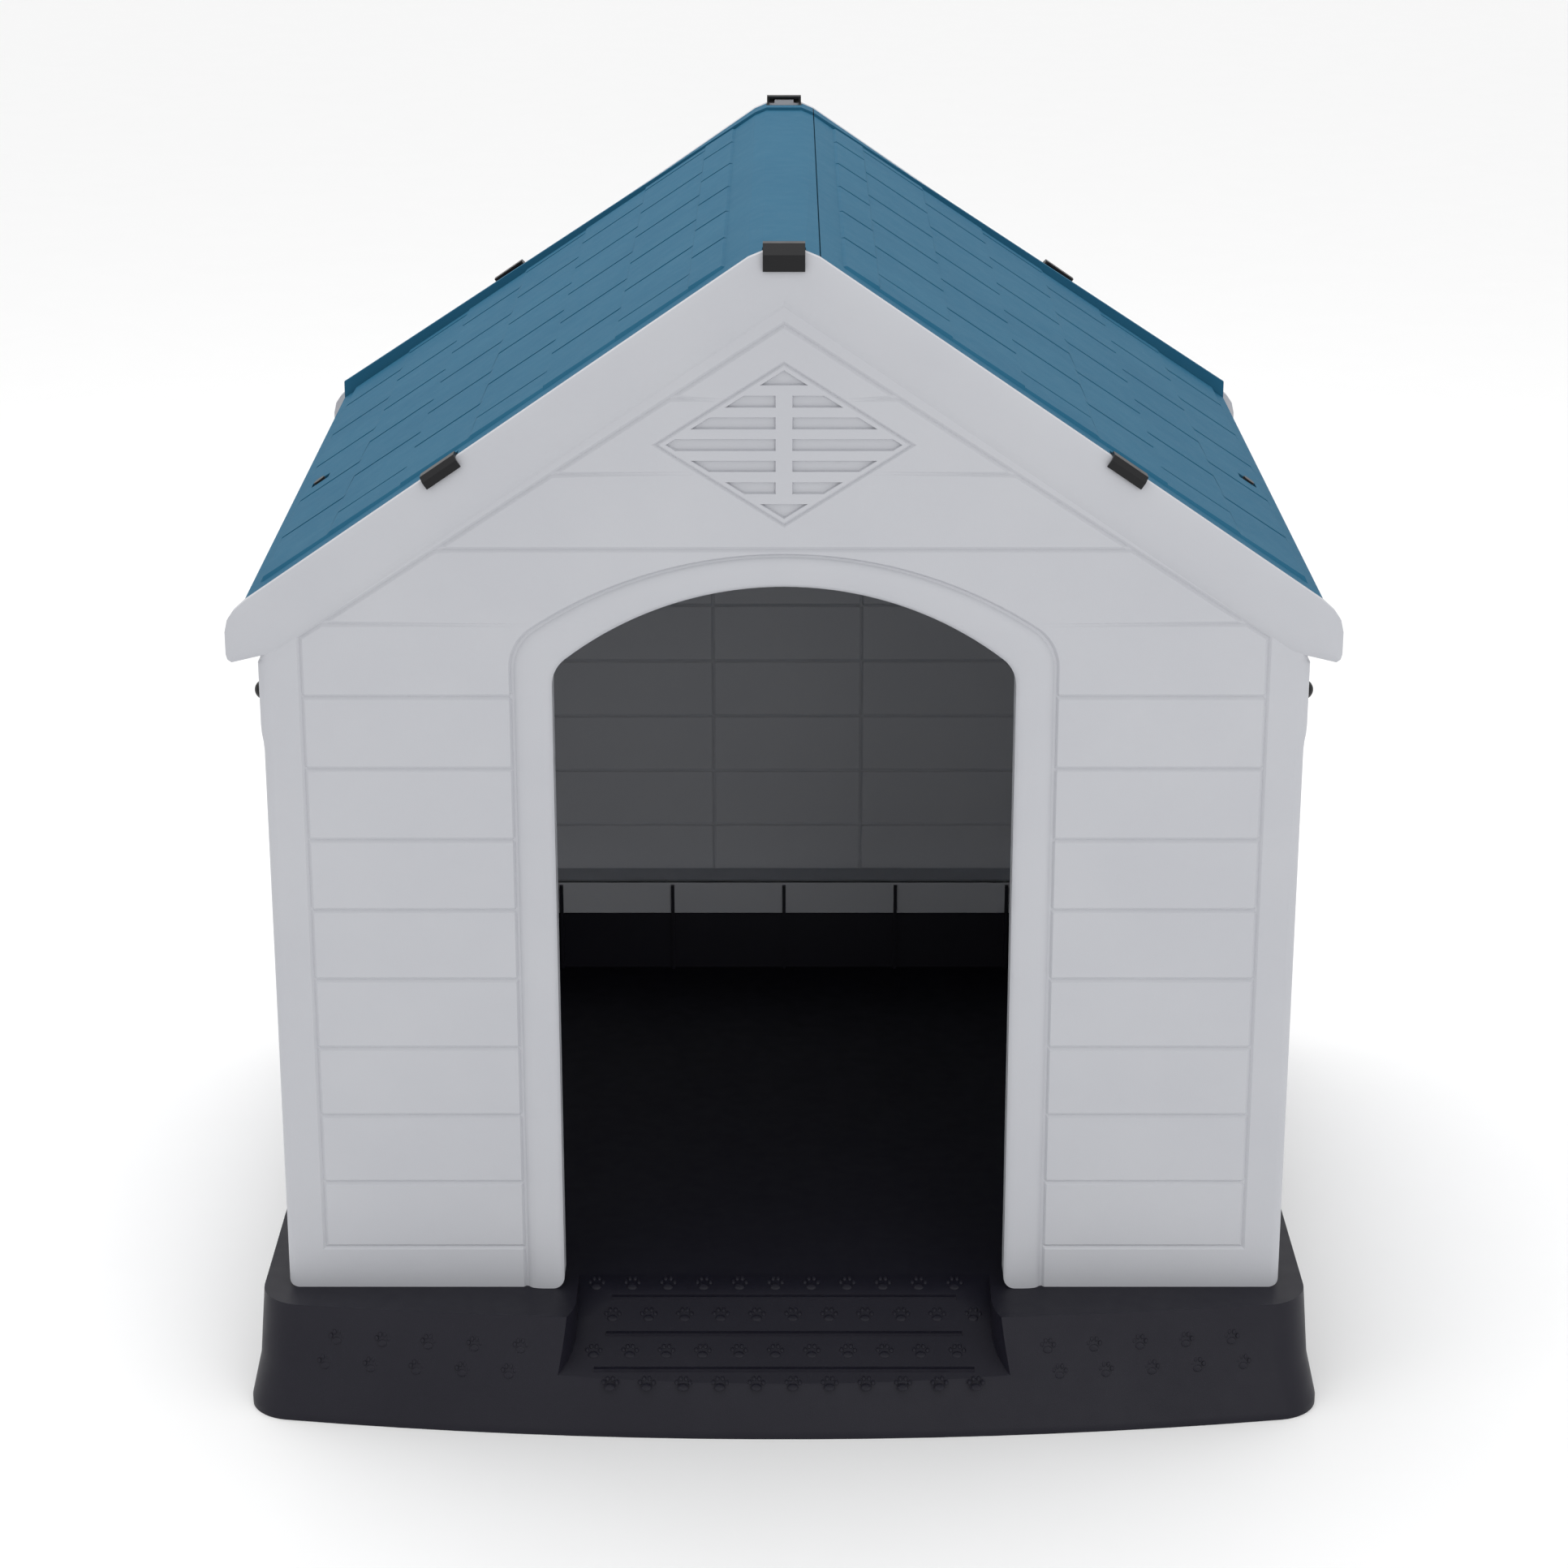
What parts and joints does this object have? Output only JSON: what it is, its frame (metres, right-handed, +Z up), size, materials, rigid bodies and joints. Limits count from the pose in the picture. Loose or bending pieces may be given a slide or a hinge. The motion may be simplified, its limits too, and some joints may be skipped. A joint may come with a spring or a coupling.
{
  "type": "dog house",
  "caption": "Knock-down plastic dog house with a gabled roof that lifts off, swinging roof clips, an arched doorway and a ramped base tray.",
  "frame": {"origin": "centre of the overall footprint, on the ground", "axes": "+Z up, the doorway faces -Y, +X to the right of someone looking at the doorway"},
  "size_m": [0.976, 0.9899, 1.0655],
  "materials": {
    "wall_plastic": "fine-grained light grey moulded plastic",
    "roof_plastic": "fine-grained blue moulded plastic",
    "base_plastic": "fine-grained charcoal moulded plastic",
    "black_plastic": "satin black moulded plastic"
  },
  "bodies": {
    "shell": {"base_tray": "base_plastic", "front_panel": "wall_plastic", "back_panel": "wall_plastic", "left_side_panel": "wall_plastic", "right_side_panel": "wall_plastic", "corner_screws": "black_plastic", "corner_nuts": "black_plastic"},
    "roof": {"left_roof": "roof_plastic", "right_roof": "roof_plastic", "roof_pegs": "black_plastic", "clip_pin_front_left": "black_plastic", "clip_pin_front_apex": "black_plastic", "clip_pin_front_right": "black_plastic", "clip_pin_back_left": "black_plastic", "clip_pin_back_apex": "black_plastic", "clip_pin_back_right": "black_plastic"},
    "clip_front_left": {"clip_front_left": "black_plastic"},
    "clip_front_apex": {"clip_front_apex": "black_plastic"},
    "clip_front_right": {"clip_front_right": "black_plastic"},
    "clip_back_left": {"clip_back_left": "black_plastic"},
    "clip_back_apex": {"clip_back_apex": "black_plastic"},
    "clip_back_right": {"clip_back_right": "black_plastic"}
  },
  "joints": [
    {"name": "roof_lift", "type": "slide", "parent": "shell", "child": "roof", "axis": [0, 0, 1], "range_m": [0, 0.25]},
    {"name": "clip_front_left_hinge", "type": "hinge", "parent": "roof", "child": "clip_front_left", "pos_m": [-0.29074, -0.379, 0.86968], "axis": [-0.8252, 0, -0.5648], "range_deg": [0, 90]},
    {"name": "clip_front_apex_hinge", "type": "hinge", "parent": "roof", "child": "clip_front_apex", "pos_m": [0, -0.379, 1.054], "axis": [-1, 0, 0], "range_deg": [0, 90]},
    {"name": "clip_front_right_hinge", "type": "hinge", "parent": "roof", "child": "clip_front_right", "pos_m": [0.29074, -0.379, 0.86968], "axis": [-0.8252, 0, 0.5648], "range_deg": [0, 90]},
    {"name": "clip_back_left_hinge", "type": "hinge", "parent": "roof", "child": "clip_back_left", "pos_m": [-0.28574, 0.42, 0.8731], "axis": [0.8252, 0, 0.5648], "range_deg": [0, 90]},
    {"name": "clip_back_apex_hinge", "type": "hinge", "parent": "roof", "child": "clip_back_apex", "pos_m": [0, 0.42, 1.054], "axis": [1, 0, 0], "range_deg": [0, 90]},
    {"name": "clip_back_right_hinge", "type": "hinge", "parent": "roof", "child": "clip_back_right", "pos_m": [0.28574, 0.42, 0.8731], "axis": [0.8252, 0, -0.5648], "range_deg": [0, 90]}
  ]
}
